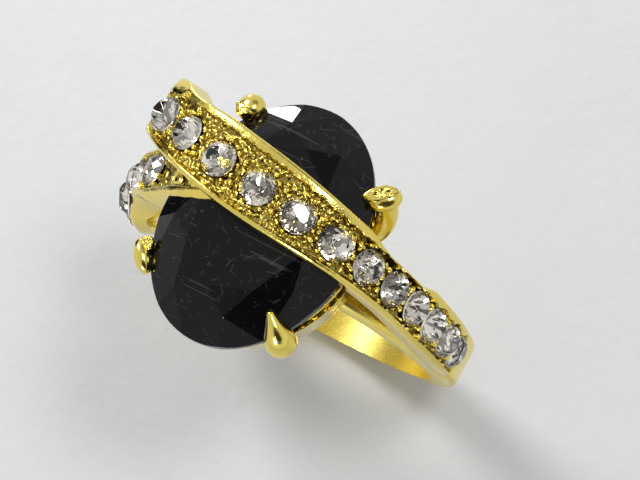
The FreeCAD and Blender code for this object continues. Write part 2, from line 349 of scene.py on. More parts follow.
bandTrack = Track([
    (reach, -0.05, climb(0), rootWidth),
    (reach + ring["shoulderSwell"], -0.05, climb(0.18), rootWidth + 0.1),
    (between(0.9), 0.1, climb(0.42), rootWidth + 0.2),
    (between(0.6), 0.3, climb(0.67), rootWidth + 0.4),
    (between(0.0), 0.6, climb(1), rootWidth + 0.6),
    (0.83 * halfWidth, 0.8, crestHeight - 1.1, rootWidth + 0.9),
    (0.0, 1.35, crestHeight, rootWidth + 1.5),
    (-0.52 * halfWidth, 1.8, crestHeight - 0.2, rootWidth + 1.5),
    (-halfWidth, 2.4, crestHeight - 1.0, rootWidth + 1.4),
    (-1.42 * halfWidth, 3.1, crestHeight - 2.9, rootWidth + 1.2),
    (-1.64 * halfWidth, 3.5, crestHeight - 4.6, rootWidth + 0.9)])
armTrack = Track([
    (-0.65 * halfWidth, 0.9, crestHeight - 1.3, rootWidth - 0.5, 0),
    (-halfWidth, 0.8, crestHeight - 2.8, rootWidth - 0.3, 0),
    (-between(0.03), 0.75, climb(0.87), rootWidth - 0.1, 0),
    (-between(0.43), 0.5, climb(0.69), rootWidth + 0.1, 0),
    (-between(0.76), -0.1, climb(0.52), rootWidth + 0.1, 10),
    (-between(0.94), -1.0, climb(0.35), rootWidth + 0.1, 26),
    (-reach + 0.25, -1.35, climb(0.17), rootWidth + 0.1, 30),
    (-reach, -0.4, climb(0), rootWidth + 0.1, 8)])


def bandRow(shift):  # distance along and sideways shift of each rhinestone, the pitch growing up the band
    steps = channel["bandStones"] - 1
    first = channel["endWall"] + channel["firstGap"] + chaton["diameter"] / 2
    last = channel["endWall"] + channel["lastGap"] + chaton["diameter"] / 2
    pitch = chaton["diameter"] + channel["bandGap"]
    growth = 2 * (bandTrack.length - first - last - steps * pitch) / (steps * (steps - 1))
    count = np.arange(channel["bandStones"])
    distance = first + pitch * count + growth * count * (count - 1) / 2
    return np.column_stack([distance, -shift * (distance / bandTrack.length) ** 2])


bandSpots = bandRow(0.3)
armFirst = armTrack.length - channel["endWall"] - channel["firstGap"] - chaton["diameter"] / 2
armSpots = np.array([[armFirst - (chaton["diameter"] + channel["armGap"]) * count, 0.0]
                     for count in range(channel["armStones"])])


def scatter(length, width, look):  # jittered oval grains over a strip: place, radius, rise, stretch and turn
    spacing = look["grainSpacing"]
    grid = np.mgrid[0:length:spacing, -width / 2:width / 2:spacing * 0.9].reshape(2, -1).T
    grid = grid[rng.uniform(0, 1, len(grid)) < look["grainKeep"]]
    grid = grid + rng.uniform(-0.45, 0.45, grid.shape) * spacing
    radius = rng.uniform(*look["grainRadius"], len(grid))
    return np.column_stack([grid, radius, radius * rng.uniform(0.45, 0.95, len(grid)),
                            rng.uniform(1.0, 1.9, len(grid)), rng.uniform(0, math.pi, len(grid))])


def domes(spots, grains):  # height of oval grains at each spot
    height = np.zeros(len(spots))
    for u, v, radius, rise, stretch, turn in grains:
        far = radius * stretch
        near = np.nonzero((np.abs(spots[:, 0] - u) < far) & (np.abs(spots[:, 1] - v) < far))[0]
        a, b = spots[near, 0] - u, spots[near, 1] - v
        long = (a * math.cos(turn) + b * math.sin(turn)) / far
        short = (b * math.cos(turn) - a * math.sin(turn)) / radius
        height[near] = np.maximum(height[near], rise * np.sqrt(np.clip(1 - long**2 - short**2, 0, 1)))
    return height


def addStrip(length, early, wall, alongCount, acrossCount):  # one unit wide, with a dense top
    bpy.ops.mesh.primitive_grid_add(x_subdivisions=alongCount, y_subdivisions=acrossCount, size=1)
    strip = bpy.context.object
    points = readPoints(strip)
    rim = (np.abs(np.abs(points[:, 0]) - 0.5) < 1e-6) | (np.abs(np.abs(points[:, 1]) - 0.5) < 1e-6)
    pick(strip, rim)
    bpy.ops.mesh.extrude_edges_move(TRANSFORM_OT_translate={"value": (0, 0, -wall / 2)})
    bpy.ops.mesh.extrude_edges_move(TRANSFORM_OT_translate={"value": (0, 0, -wall / 2)})
    bpy.ops.object.mode_set(mode="OBJECT")
    points = readPoints(strip)
    low = points[:, 2] < -0.99 * wall
    pick(strip, low & (np.abs(np.abs(points[:, 1]) - 0.5) < 1e-6))
    bpy.ops.mesh.bridge_edge_loops()
    bpy.ops.mesh.select_all(action="SELECT")
    bpy.ops.mesh.fill_holes(sides=0)
    bpy.ops.object.mode_set(mode="OBJECT")
    points = readPoints(strip)
    points[:, 0] = (points[:, 0] + 0.5) * (length + early) - early
    writePoints(strip, points)
    return strip


def easeBetween(place, span):  # 1 between two places, with a length to ease in over and one to ease out over
    start, rise, end, fall = span
    return smooth((place - start) / rise) * (1 - smooth((place - end) / fall))


def roundCorner(spots, length, width, radius):  # bends the far end corner of the strip to an arc
    a = (spots[:, 0] - (length - radius)) / radius
    b = (spots[:, 1] - (width / 2 - radius)) / radius
    inside = (a > 0) & (b > 0)
    bent = spots.copy()
    bent[inside, 0] = length - radius + radius * (a * np.sqrt(1 - b * b / 2))[inside]
    bent[inside, 1] = (width / 2 - radius + radius * b * np.sqrt(1 - a * a / 2))[inside]
    far = np.where(inside, radius * (1 - np.hypot(*(
        (bent[:, 0] - (length - radius)) / radius, (bent[:, 1] - (width / 2 - radius)) / radius))), 9.0)
    return bent, far


def stoneChannel(spots, edges, stones, grains, beads, look):  # height of a set channel's top, and its recess: how much painted shade darkens it
    nearEdge, farEdge, startEdge, endEdge, corner = edges
    level = np.zeros(len(spots))
    fall = np.zeros(len(spots))
    along, sideways = spots[:, 0], spots[:, 1]
    wobble = sum(size * np.sin(along * rate + start) for size, rate, start in look["ripples"])
    hollow = easeBetween(along, look["hollowSpan"])
    boss = 1 - smooth((endEdge - look["bossLength"]) / 0.5)
    pit = np.exp(-((endEdge - look["bossLength"] - look["pitBack"]) / look["pitWidth"])**2) * look["pit"]
    wobble = wobble - hollow * look["hollowRim"] + boss * look["bossRim"] - pit * look["pitRim"]
    bossFar = boss * look["bossRim"] * 1.5
    bossEnd = boss * look["bossRim"] * smooth(sideways + 0.3) * 1.4
    edgeShapes = (  # distance to each edge, width of its rim, its chamfer and the chamfer's drop
        (nearEdge, look["nearRim"], look["nearChamfer"], look["nearDrop"]),
        (farEdge, look["farRim"] + wobble, look["farChamfer"] + bossFar, look["farDrop"]),
        (endEdge, look["endRim"], look["endChamfer"] + bossEnd, look["endDrop"]),
        (startEdge, look["startRim"], look["startChamfer"], 0.0),
        (corner, look["cornerRim"], look["cornerChamfer"], look["farDrop"]))
    for edge, rim, chamfer, drop in edgeShapes:
        level = np.maximum(level, 1 - smooth((edge - rim) / look["rimFall"]))
        share = np.clip(1 - edge / chamfer, 0, 1)
        fall = np.minimum(fall, -drop * (1 - np.sqrt(np.clip(1 - share**2, 0, 1))))
    bed = domes(spots, grains) * smooth((nearEdge - look["nearRim"] - look["groove"]) / 0.1)
    bare = (1 - hollow * smooth((sideways - 0.7) / 0.3)) * (1 - pit * smooth((sideways - 0.75) / 0.25))
    base = look["bed"] + look["bedLift"] * (1 - smooth((along - look["bedLiftTo"]) / 2.0))
    height = (base + bed * bare) * (1 - level)
    hollow = hollow * smooth((sideways - 0.6) / 0.3) * (1 - level)
    height = height - hollow * look["hollowDeep"]
    bossAlong, bossSideways = look["bossPlace"]
    bossGap = (endEdge - bossAlong)**2 + (sideways - bossSideways)**2
    height = height + look["bossRise"] * np.exp(-bossGap / look["bossSpread"])
    beaded = domes(spots, beads)
    onBead = (level < 0.5) & (beaded > 0)
    height = np.where(onBead, np.maximum(height, look["beadBase"] + beaded), height)
    radius = look["stoneRadius"]
    girdle = chaton["rise"] - channel["depth"] - chaton["girdle"] / 2
    for u, v in stones:
        away = np.hypot(spots[:, 0] - u, spots[:, 1] - v)
        ringBeads = []
        for step in range(look["collarBeads"]):
            angle = math.tau * (step + rng.uniform(-0.25, 0.25)) / look["collarBeads"]
            size = look["collarBead"] * rng.uniform(0.7, 1.25)
            reachOut = radius + look["seatGap"] + size * 0.75
            ringBeads.append([u + reachOut * math.cos(angle), v + reachOut * math.sin(angle), size,
                              size * rng.uniform(0.7, 1.5), rng.uniform(1.0, 1.5), angle + math.pi / 2])
        raised = domes(spots, ringBeads)
        height = np.where(raised > 0, np.maximum(height, look["collarBase"] + raised), height)
        seat = girdle - 0.05 - np.clip(radius - away, 0, None) * chaton["pavilion"] / radius
        wall = smooth((away - radius - look["seatGap"] * 0.3) / (look["seatGap"] * 0.7))
        height = np.minimum(height, seat + (height - seat) * wall)
    # painted shade: darker the lower the top sits, and darker in the hollow
    recess = smooth((-height - look["recessFrom"]) / look["recessSpan"]) * (1 - level) + hollow * 0.3
    return height + fall, recess


def makeBand(name, track, spots, look, node):
    strip = addStrip(track.length, look["early"], channel["wall"], look["alongCount"], look["acrossCount"])
    points = readPoints(strip)
    top = points[:, 2] > -1e-6
    width = track.at(points[:, 0])[4]
    flat = points[:, :2] * np.column_stack([np.ones(len(points)), width])
    shoulder = 1 - smooth((flat[:, 0] - look["flareFrom"]) / look["flareSpan"])
    if look["early"] > 0:
        shoulder = shoulder * (0.45 + 0.55 * smooth((flat[:, 0] + look["early"]) / 2.4))
    if look["cornerRadius"] > 0:
        flat, corner = roundCorner(flat, track.length, width, look["cornerRadius"])
    else:
        corner = np.full(len(points), 9.0)
    nearOut = look["flare"] * shoulder  # the near side stands out past the model's plain band here
    toEnd = track.length - flat[:, 0]
    farShare = np.clip(flat[:, 1] / (width / 2), 0, 1)**2
    waist = easeBetween(flat[:, 0], look["hollowSpan"]) * look["hollowIn"]
    waist = waist + easeBetween(toEnd, look["waistSpan"]) * look["waist"]
    waist = waist - look["bossOut"] * (1 - smooth((toEnd - 1.0) / 2.0))
    lip = look["lip"] * (1 - smooth(toEnd / 1.0)) * (1 - smooth((flat[:, 1] + 0.2) / 1.0))
    edges = [flat[:, 1] + width / 2, width / 2 - flat[:, 1], flat[:, 0], track.length - flat[:, 0], corner]
    if look["rimSpreads"]:
        edges[0] = edges[0] * (1 + nearOut * np.clip(1 - edges[0] / 0.5, 0, 1) / 0.5)
    nearSide = np.clip(1 - (flat[:, 1] + width / 2) / look["flareZone"], 0, 1)
    flat[:, 1] -= waist * farShare
    flat[:, 0] += lip
    spread = flat.copy()
    spread[:, 1] -= nearOut * nearSide
    grains = scatter(track.length, 4.6, look)
    height, recess = stoneChannel(flat, edges, spots, grains, rowBeads(spots, look), look)
    height = height - nearOut * nearSide**2 * look["flareDrop"]
    height = height - look["sink"] * smooth((flat[:, 0] - look["sinkFrom"]) / 2.0)
    points[:, :2] = np.where(top[:, None], spread, flat)
    web = look["web"] * easeBetween(flat[:, 0], look["webSpan"])
    points[:, 2] = np.where(top, height, points[:, 2] * (1 + web / channel["wall"]))
    points[:, 1] -= np.where(top, 0, nearOut * nearSide)
    # painted shade: the recess values darken the gold in the channel's low places
    shade = strip.data.attributes.new("recess", "FLOAT", "POINT")
    shade.data.foreach_set("value", np.where(top, recess, 0.0))
    place, across, along, outward, _ = track.at(points[:, 0])
    writePoints(strip, (place + across * points[:, 1:2] + outward * points[:, 2:3]) * mm)
    outwards(strip)
    return finishPiece(strip, name, [castGold], node, look["smoothAngle"])


def rowBeads(spots, look):  # small gold beads in pairs between neighbouring stones
    beads = []
    order = spots[np.argsort(spots[:, 0])]
    for first, second in zip(order, order[1:]):
        middle = (first + second) / 2
        for side in (-1, 1):
            jitter = rng.uniform(-0.06, 0.06, 2)
            radius = look["beadRadius"] * rng.uniform(0.8, 1.2)
            beads.append([middle[0] + jitter[0], middle[1] + side * look["beadOut"] + jitter[1], radius,
                          radius * 1.4, rng.uniform(1.0, 1.5), rng.uniform(0, math.pi)])
    return np.array(beads)


channelLook = {  # each span: from, length to ease in over, to, length to ease out over
    "alongCount": 640, "acrossCount": 88, "cornerRadius": channel["cornerRadius"], "smoothAngle": 60,
    "grainSpacing": 0.31, "grainKeep": 0.9, "grainRadius": (0.09, 0.18), "bed": -0.5, "groove": 0.1,
    "nearRim": 0.25, "nearChamfer": 0.3, "nearDrop": 0.24, "farRim": 0.46, "farChamfer": 0.25, "farDrop": 0.2,
    "endRim": 0.3, "endChamfer": 0.3, "endDrop": 0.25, "startRim": 0.4, "startChamfer": 0.01,
    "cornerRim": 1.15, "cornerChamfer": 0.9, "rimFall": 0.12,
    "ripples": ((0.035, 5.1, 0.0), (0.025, 11.7, 2.0)),
    "hollowSpan": (7.0, 1.5, 11.5, 2.5), "hollowRim": 0.26, "hollowIn": 0.36, "hollowDeep": 0.3,
    "bossLength": 2.2, "bossRim": 0.42, "bossOut": 0.06, "bossRise": 0.16, "bossPlace": (1.2, 1.05),
    "bossSpread": 0.55, "pit": 1.0, "pitBack": 0.95, "pitWidth": 0.5, "pitRim": 0.26,
    "waist": 0.24, "waistSpan": (1.8, 2.0, 4.2, 3.0), "lip": 0.3,
    "early": 0.0, "bedLift": 0.0, "bedLiftTo": 2.6, "sink": 0.0, "sinkFrom": 0.0,
    "stoneRadius": 0.985, "seatGap": 0.07, "collarBeads": 13, "collarBead": 0.12, "collarBase": -0.32,
    "beadRadius": 0.16, "beadOut": 0.62, "beadBase": -0.275, "recessFrom": 0.16, "recessSpan": 0.3,
    "flare": 0.14, "flareZone": 0.5, "flareFrom": 6.0, "flareSpan": 4.0, "flareDrop": 1.6, "rimSpreads": True,
    "web": 0.0, "webSpan": (0.0, 1.0, 0.0, 1.0)}
band = makeBand("crossover_band_cast", bandTrack, bandSpots, channelLook, "crossover_band")
armLook = {
    **channelLook, "alongCount": 360, "acrossCount": 64, "cornerRadius": 0, "farRim": 0.3, "startRim": -1.0,
    "nearRim": 0.33, "flare": 0.55, "flareZone": 1.0, "flareSpan": 3.0, "flareDrop": 0.25,
    "rimSpreads": False, "hollowSpan": (99.0, 1.0, 99.0, 1.0), "bossLength": 0.0, "bossRim": 0.0,
    "bossOut": 0.0, "bossRise": 0.0, "pit": 0.0, "waist": 0.0, "lip": 0.0, "early": 1.4, "bedLift": 0.34,
    "sink": 0.42, "sinkFrom": 8.6, "web": 1.7, "webSpan": (3.5, 2.5, 9.0, 3.5)}
arm = makeBand("left_arm_cast", armTrack, armSpots, armLook, "left_arm")
print("bands made:", len(band.data.polygons), len(arm.data.polygons))


def makeShank(look):
    spinRadius = 10.0  # the square profile is spun at this radius, then brought to size
    bpy.ops.mesh.primitive_plane_add(size=1)
    loop = bpy.context.object
    bpy.ops.object.mode_set(mode="EDIT")
    bpy.ops.mesh.subdivide(number_cuts=look["profileCuts"])
    bpy.ops.object.mode_set(mode="OBJECT")
    points = readPoints(loop)
    writePoints(loop, points + (spinRadius, 0, 0))
    edge = (np.abs(points[:, 0]) > 0.499) | (np.abs(points[:, 1]) > 0.499)
    pick(loop, ~edge)
    bpy.ops.mesh.delete(type="VERT")
    bpy.ops.mesh.select_all(action="SELECT")
    bpy.ops.mesh.spin(steps=look["steps"], angle=math.tau, center=(0, 0, 0), axis=(0, 1, 0))
    bpy.ops.mesh.select_all(action="SELECT")
    bpy.ops.mesh.remove_doubles(threshold=0.0005)
    bpy.ops.object.mode_set(mode="OBJECT")
    points = readPoints(loop)
    radius = np.hypot(points[:, 0], points[:, 2])
    unit = np.column_stack([points[:, 0], points[:, 2]]) / radius[:, None]
    share = radius - spinRadius + 0.5  # 0 at the finger hole, 1 outside
    side = points[:, 1] * 2  # -1 to 1 over the width
    lowReach = ring["fingerRadius"] + ring["footWall"]
    outer = (lowReach**2 + reach**2) / (2 * lowReach)
    middle = outer - lowReach
    drop = middle * unit[:, 1]
    outside = drop + np.sqrt(outer**2 - middle**2 + drop**2)
    rise = smooth((unit[:, 1] * reach - ring["rootHeight"] + 0.3) / 0.9)
    outside = outside + (loopRadius - outside) * rise
    outRound, sideRound = look["outRound"], look["sideRound"]  # where the profile's corners start to round
    outEdge = np.clip((share - outRound) / (1 - outRound), 0, 1)
    sideEdge = np.clip((np.abs(side) - sideRound) / (1 - sideRound), 0, 1)
    rounded = outRound + (1 - outRound) * outEdge * np.sqrt(1 - sideEdge**2 / 2)
    share = np.where(share > outRound, rounded, share)
    rounded = sideRound + (1 - sideRound) * sideEdge * np.sqrt(1 - outEdge**2 / 2)
    side = np.sign(side) * np.where(np.abs(side) > sideRound, rounded, np.abs(side))
    radius = ring["fingerRadius"] + share * (outside - ring["fingerRadius"])
    z = unit[:, 1] * radius
    low = (z + lowReach) / (ring["rootHeight"] + lowReach)
    high = (z - ring["rootHeight"]) / (loopRadius - ring["rootHeight"])
    halfSpan = np.where(z < ring["rootHeight"],
                        ring["footWidth"] + (ring["shoulderWidth"] - ring["footWidth"]) * low,
                        ring["shoulderWidth"] + (ring["bridgeWidth"] - ring["shoulderWidth"]) * high) / 2
    writePoints(loop, np.column_stack([unit[:, 0] * radius, side * halfSpan, z]) * mm)
    outwards(loop)
    return finishPiece(loop, "finger_loop_cast", [loopGold], "shank", 40)


makeShank({"profileCuts": 15, "steps": 256, "outRound": 0.62, "sideRound": 0.72})


def facetPlanes(sizes):  # point and outward normal of every cut of a brilliant, long axis along X
    a, b = sizes["length"] / 2, sizes["width"] / 2
    top = sizes["girdle"] / 2
    eighth = math.pi / 4
    sideRatio = 0.8
    sideLift = sizes["crown"] * (1 - sideRatio * math.cos(eighth / 2)) / (1 - sizes["table"])

    def facet(angle, first, second):
        (inner, low), (outer, high) = first, second
        normal = Vector((math.cos(angle) / a, math.sin(angle) / b, (inner - outer) / (high - low)))
        return Vector((a * math.cos(angle) * inner, b * math.sin(angle) * inner, low)), normal.normalized()

    crownTop = top + sizes["crown"]
    tableHalf = sizes["table"] * math.cos(eighth / 2)
    planes = []
    for step in range(8):
        main = step * eighth
        half = main + eighth / 2
        planes.append(facet(main, (1, top), (sizes["table"], crownTop)))
        planes.append(facet(half, (sideRatio, top + sideLift), (tableHalf, crownTop)))
        side = Vector((a * sideRatio * math.cos(half), b * sideRatio * math.sin(half), top + sideLift))
        middle = Vector((a * math.cos(half), b * math.sin(half), top))
        for tip in (main, main + eighth):
            corner = Vector((a * math.cos(tip), b * math.sin(tip), top))
            normal = (middle - corner).cross(side - corner).normalized()
            planes.append((corner, -normal if normal.z < 0 else normal))
        planes.append(facet(main, (0, -top - sizes["pavilion"]), (1, -top)))
        if sizes.get("fine"):  # a second row of pavilion cuts
            planes.append(facet(half, (0, -top - sizes["pavilion"] * 1.02), (0.985, -top)))
    return planes


def cutGem(sizes, segments):  # an elliptical prism cut down facet by facet
    height = sizes["crown"] + sizes["girdle"] + sizes["pavilion"]
    middle = (sizes["crown"] - sizes["pavilion"]) / 2
    bpy.ops.mesh.primitive_cylinder_add(vertices=segments, radius=1, depth=height, location=(0, 0, 0))
    stone = bpy.context.object
    points = readPoints(stone)
    writePoints(stone, points * (sizes["length"] / 2, sizes["width"] / 2, 1) + (0, 0, middle))
    only(stone)
    bpy.ops.object.mode_set(mode="EDIT")
    for point, normal in facetPlanes(sizes):
        bpy.ops.mesh.select_all(action="SELECT")
        bpy.ops.mesh.bisect(plane_co=point, plane_no=normal, use_fill=True, clear_outer=True)
    bpy.ops.mesh.select_all(action="SELECT")
    bpy.ops.mesh.remove_doubles(threshold=0.004)
    bpy.ops.mesh.dissolve_limited(angle_limit=math.radians(0.8))
    bpy.ops.object.mode_set(mode="OBJECT")
    return stone


def bevelEdges(obj, width, segments=2, limit=6):
    only(obj)
    soften = obj.modifiers.new("soften", "BEVEL")
    soften.width = width
    soften.segments = segments
    soften.limit_method = "ANGLE"
    soften.angle_limit = math.radians(limit)
    bpy.ops.object.modifier_apply(modifier="soften")


centre = cutGem(oval, 96)
bevelEdges(centre, 0.025, 2, 5)
stoneTurn = math.radians(90 + oval["turn"])
turnStone = np.array([
    [math.cos(stoneTurn), -math.sin(stoneTurn), 0],
    [math.sin(stoneTurn), math.cos(stoneTurn), 0],
    [0, 0, 1]])
writePoints(centre, (readPoints(centre) @ turnStone.T + (0, 0, girdleHeight)) * mm)
outwards(centre)
finishPiece(centre, "centre_stone_cut", [blackGlass], "centre_stone", 3)
print("centre stone cut:", len(centre.data.polygons))

gemWidth = 2 * channelLook["stoneRadius"]
gemSizes = {**chaton, "fine": True, "length": gemWidth, "width": gemWidth}
pattern = cutGem(gemSizes, 48)
bevelEdges(pattern, 0.008, 1, 8)
outwards(pattern)
patternPoints = readPoints(pattern)


def setRhinestone(name, node, track, distance, shift, proud=0.0, tip=0.0):
    only(pattern)
    bpy.ops.object.duplicate()
    stone = bpy.context.object
    point, across, along, outward, _ = (part[0] for part in track.at(distance))
    outward, along = (outward * math.cos(tip) - along * math.sin(tip),
                      along * math.cos(tip) + outward * math.sin(tip))
    centreAt = point + across * shift + outward * (chaton["rise"] - channel["depth"] + proud)
    spin = rng.uniform(0, math.pi / 4)
    lean = rng.normal(0, 0.035, 2)
    x = across * math.cos(spin) + along * math.sin(spin)
    y = along * math.cos(spin) - across * math.sin(spin)
    z = outward + x * lean[0] + y * lean[1]
    z /= np.linalg.norm(z)
    x = np.cross(y, z) / np.linalg.norm(np.cross(y, z))
    y = np.cross(z, x)
    writePoints(stone, (centreAt + patternPoints @ np.array([x, y, z])) * mm)
    outwards(stone)
    finishPiece(stone, name, rhinestoneFinishes, node)
    below = np.array([polygon.normal @ Vector(z) < -0.25 for polygon in stone.data.polygons])
    stone.data.polygons.foreach_set("material_index", below.astype(int))
    stone.data.update()


plainSeat = {"proud": 0.05}
endSeat = {"proud": 0.22, "tip": 0.2}  # the last one stands proud of the free end and tips upwards
for number, (distance, shift) in enumerate(bandSpots, 1):
    seat = endSeat if number == channel["bandStones"] else plainSeat
    setRhinestone(f"crossover_stone_{number:02d}", f"crossover_rhinestone_{number:02d}", bandTrack,
                  distance, shift, **seat)
for number, (distance, shift) in enumerate(armSpots, 1):
    setRhinestone(f"left_arm_stone_{number}", f"left_arm_rhinestone_{number}", armTrack, distance, shift)
only(pattern)
bpy.ops.object.delete()
print("rhinestones set")


railRadius = 0.45
railIn = {"side": 0.6, "end": 1.4}
railHeight = math.sqrt(loopRadius**2 - (halfWidth - railIn["side"])**2) + railRadius


def makeRail(look):
    torusRadius = 10.0  # only its angles and its section are used
    bpy.ops.mesh.primitive_torus_add(
        major_segments=look["steps"], minor_segments=look["around"], major_radius=torusRadius, minor_radius=1)
    rail = bpy.context.object
    points = readPoints(rail)
    way = np.arctan2(points[:, 1], points[:, 0])
    out = np.hypot(points[:, 0], points[:, 1]) - torusRadius
    up = points[:, 2]
    square = 1 / np.power(np.abs(out)**look["square"] + np.abs(up)**look["square"], 1 / look["square"])
    out, up = out * square, up * square
    pits = 0.5 + 0.5 * np.sin(way * 31) * np.sin(way * 17 + 1)
    groove = np.exp(-((out - look["grooveOut"]) / look["grooveWide"])**2) * smooth((up - 0.6) / 0.25)
    rise = (up + 1) / 2
    inset = out * look["halfDeep"] + look["lean"] * rise**look["curve"]
    a, b = halfLength - railIn["end"], halfWidth - railIn["side"]
    normal = np.column_stack([np.cos(way) / a, np.sin(way) / b])
    normal /= np.linalg.norm(normal, axis=1)[:, None]
    flat = np.column_stack([a * np.cos(way), b * np.sin(way)]) + normal * inset[:, None]
    height = railHeight - railRadius + rise * look["tall"] - groove * look["grooveDeep"] * (0.6 + 0.4 * pits)
    placed = np.column_stack([flat, height - girdleHeight]) @ turnStone.T + (0, 0, girdleHeight)
    # painted shade: the groove darkens the gold there, more so in scattered pits
    shade = rail.data.attributes.new("recess", "FLOAT", "POINT")
    shade.data.foreach_set("value", groove * (0.5 + 0.5 * pits))
    writePoints(rail, placed * mm)
    outwards(rail)
    return finishPiece(rail, "gallery_rail_cast", [castGold], "gallery_rail", 60)


makeRail({
    "steps": 320, "around": 64, "square": 5.0, "halfDeep": 0.36, "tall": 3.35, "lean": 0.5, "curve": 1.4,
    "grooveOut": 0.42, "grooveWide": 0.33, "grooveDeep": 0.42})


def makeClaw(name, node, angle, look):  # a bent stem from the rail up over the girdle, with its heads
    turn = math.radians(angle)
    rim = np.array([halfLength * math.cos(turn), halfWidth * math.sin(turn), 0.0])
    out = np.array([math.cos(turn) / halfLength, math.sin(turn) / halfWidth, 0.0])
    out /= np.linalg.norm(out)
    low = railHeight - girdleHeight
    foot = np.array([
        (halfLength - railIn["end"]) * math.cos(turn), (halfWidth - railIn["side"]) * math.sin(turn), low])
    side = np.array([-out[1], out[0], 0.0])
    stations = [(*foot, look["foot"])]
    for outBy, sideBy, up, size in look["stem"]:
        stations.append((*(rim + out * outBy + side * sideBy + (0, 0, up)), size))
    path = Track(stations)
    bpy.ops.mesh.primitive_uv_sphere_add(segments=48, ring_count=72, radius=1)
    stem = bpy.context.object
    points = readPoints(stem)
    share = 1 - np.arccos(np.clip(points[:, 2], -1, 1)) / math.pi
    spin = np.arctan2(points[:, 1], points[:, 0])
    cap = path.values[-1, 3]
    run = share * (path.length + cap)
    point, _, along, _, size = path.at(np.clip(run, 0, path.length))
    beyond = np.clip(run - path.length, 0, None)
    size = size * np.sqrt(np.clip(1 - (beyond / cap)**2, 0, 1)) * (share > 0.005)
    sideways = np.cross(along, out)
    sideways /= np.linalg.norm(sideways, axis=1)[:, None]
    face = np.cross(sideways, along)
    shaped = point + along * beyond[:, None] + face * (size * np.cos(spin))[:, None] \
        + sideways * (size * np.sin(spin))[:, None]
    writePoints(stem, (shaped @ turnStone.T + (0, 0, girdleHeight)) * mm)
    pieces = [stem]
    for head in look["heads"]:
        bpy.ops.mesh.primitive_uv_sphere_add(segments=72, ring_count=48, radius=1)
        ball = bpy.context.object
        points = readPoints(ball)
        tilt = math.radians(head["tilt"])
        swing = math.radians(head.get("turn", 0))
        level = out * math.cos(swing) + side * math.sin(swing)
        axisSide = side * math.cos(swing) - out * math.sin(swing)
        axisOut = level * math.cos(tilt) + np.array([0, 0, math.sin(tilt)])
        axisUp = np.cross(axisOut, axisSide)
        lumps = np.ones(len(points))
        if head["lump"] > 0:
            upward = smooth((points[:, 2] - 0.1) / 0.4)
            for _ in range(head["lumps"]):
                spot = rng.normal(0, 1, 3)
                spot /= np.linalg.norm(spot)
                gap = np.linalg.norm(points - spot, axis=1) / rng.uniform(0.12, 0.3)
                lumps += rng.uniform(-1, 1) * head["lump"] * np.exp(-gap**2) * upward
            lumps -= upward * head["sink"] * smooth((points[:, 2] - 0.55) / 0.2)
        radial, tangential, tall = head["size"]
        shaped = rim + out * head["out"] + (0, 0, head["up"]) + side * head["side"] \
            + (axisOut * (points[:, 0] * radial)[:, None] + axisSide * (points[:, 1] * tangential)[:, None]
               + axisUp * (points[:, 2] * tall)[:, None]) * lumps[:, None]
        writePoints(ball, (shaped @ turnStone.T + (0, 0, girdleHeight)) * mm)
        pieces.append(ball)
    only(*pieces)
    bpy.ops.object.join()
    claw = bpy.context.object
    outwards(claw)
    return finishPiece(claw, name, [polishedGold], node, 70)


roundHead = {"out": 0.5, "up": 0.25, "side": 0.0, "size": (0.76, 0.78, 0.68), "tilt": -20, "lump": 0.0}
pad = {
    "out": 0.2, "up": 0.62, "side": 0.0, "size": (0.5, 0.5, 0.3), "tilt": -25, "lump": 0.25, "lumps": 150,
    "sink": 0.05}
claws = {  # angle round the stone; the stem's stations: out of the girdle, sideways, up from it, radius
    "back_left": (49, {
        "foot": 0.42, "stem": [(-0.1, 0, -1.2, 0.48), (0.2, 0, -0.4, 0.55), (0.3, 0, 0.1, 0.5)],
        "heads": [
            {**roundHead, "out": 0.32, "side": 0.05},
            {**pad, "side": 0.33, "out": 0.33, "up": 0.6, "size": (0.52, 0.52, 0.3)}]}),
    "back_right": (-50, {
        "foot": 0.42, "stem": [
            (-0.6, -1.2, -3.0, 0.5), (-0.05, -1.3, -2.1, 0.52), (0.42, -0.9, -1.4, 0.56),
            (0.6, -0.5, -0.6, 0.6), (0.62, -0.15, 0.0, 0.6)],
        "heads": [
            {**roundHead, "out": 0.56, "side": -0.14, "up": 0.24, "size": (0.95, 0.62, 0.46), "tilt": -4,
             "turn": 13},
            {**pad, "out": 0.4, "side": 0.1, "up": 0.58, "size": (0.92, 0.42, 0.24), "tilt": -4, "turn": 13,
             "lump": 0.3, "lumps": 60, "sink": 0.26}]}),
    "front_right": (-126, {
        "foot": 0.42, "stem": [
            (0.0, -0.1, -1.2, 0.55), (0.27, -0.14, -0.3, 0.86), (0.05, -0.1, 0.42, 0.7),
            (-0.45, 0, 0.9, 0.38), (-0.88, 0.08, 1.1, 0.22)],
        "heads": []}),
    "front_left": (130, {
        "foot": 0.42, "stem": [(-0.1, 0, -1.2, 0.5), (0.3, 0.1, -0.4, 0.5), (0.36, 0.1, 0.0, 0.42)],
        "heads": [
            {**roundHead, "out": 0.4, "side": 0.16, "up": 0.1, "size": (0.5, 0.98, 0.6), "tilt": -10,
             "turn": 14},
            {**pad, "out": 0.12, "side": -0.46, "up": 0.5, "size": (0.34, 0.4, 0.26), "tilt": -10,
             "lump": 0.3}]})}
for side, (angle, look) in claws.items():
    makeClaw(f"claw_{side}_cast", f"claw_{side}", angle, look)
print("rail and claws made")


floor = {
    "size": 0.6, "drop": 0.0002, "colour": (0.655, 0.66, 0.668, 1), "cloud": (0.62, 0.625, 0.635, 1)}
bpy.ops.mesh.primitive_plane_add(size=floor["size"], location=(0, 0, cadBox[0].z - floor["drop"]))
ground = bpy.context.object
ground.name = "floor"
groundMake = Finish(bpy.data.materials.new("floor_paper"))
groundSpot = groundMake.place()
groundTone = groundMake.mix(groundMake.noise(groundSpot, 0.25, 3.0), floor["colour"], floor["cloud"])
ground.data.materials.append(groundMake.finish(groundMake.node("BsdfPrincipled", None, {
    "Base Color": groundTone, "Roughness": 0.9, "Specular IOR Level": 0.2,
    "Normal": groundMake.bump(groundMake.noise(groundSpot, 1.2, 4.0), 0.05)})))

